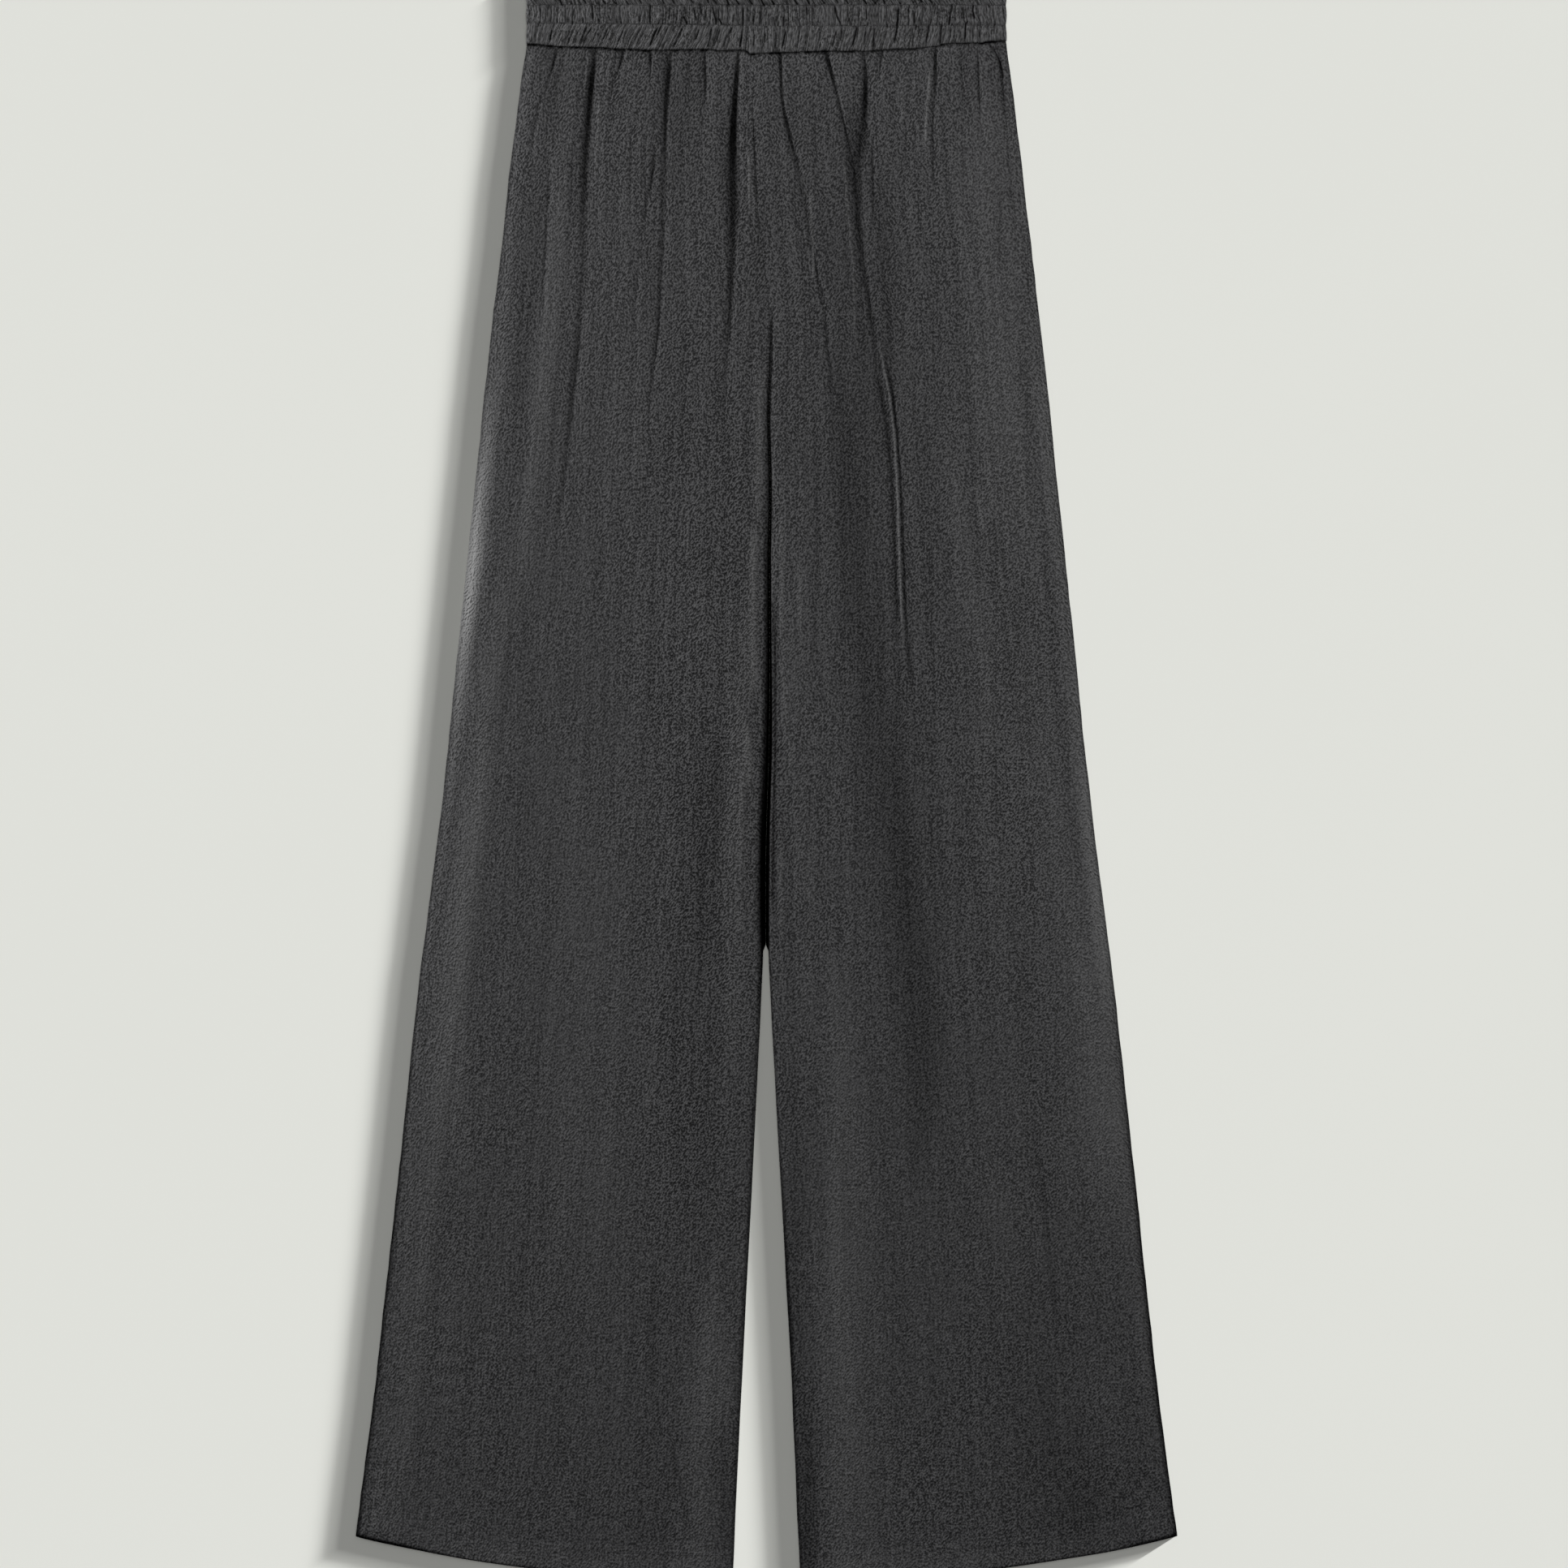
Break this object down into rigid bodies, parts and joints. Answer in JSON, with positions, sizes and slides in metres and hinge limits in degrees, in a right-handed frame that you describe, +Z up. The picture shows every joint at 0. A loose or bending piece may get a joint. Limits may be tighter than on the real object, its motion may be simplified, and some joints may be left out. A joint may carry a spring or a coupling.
{
  "type": "palazzo pants",
  "caption": "Long wide-legged trousers of crinkled cloth, gathered into a shirred elastic waistband and laid flat with the front up.",
  "frame": {"origin": "on the surface that the garment lies on, under the middle of its outline", "axes": "+Y towards the waist, +X towards the wearer's left, +Z up from the surface with the front of the garment up"},
  "size_m": [0.5566, 1.089, 0.0086],
  "materials": {
    "leg_cloth": "matt charcoal crinkled gauze with fine lengthwise crinkles",
    "band_cloth": "the same cloth, shirred over elastic in rows of small puffs"
  },
  "bodies": {
    "root": {"front_leg_right": "leg_cloth", "front_leg_left": "leg_cloth", "back_leg_right": "leg_cloth", "back_leg_left": "leg_cloth", "waistband_front": "band_cloth", "waistband_back": "band_cloth"}
  },
  "joints": []
}
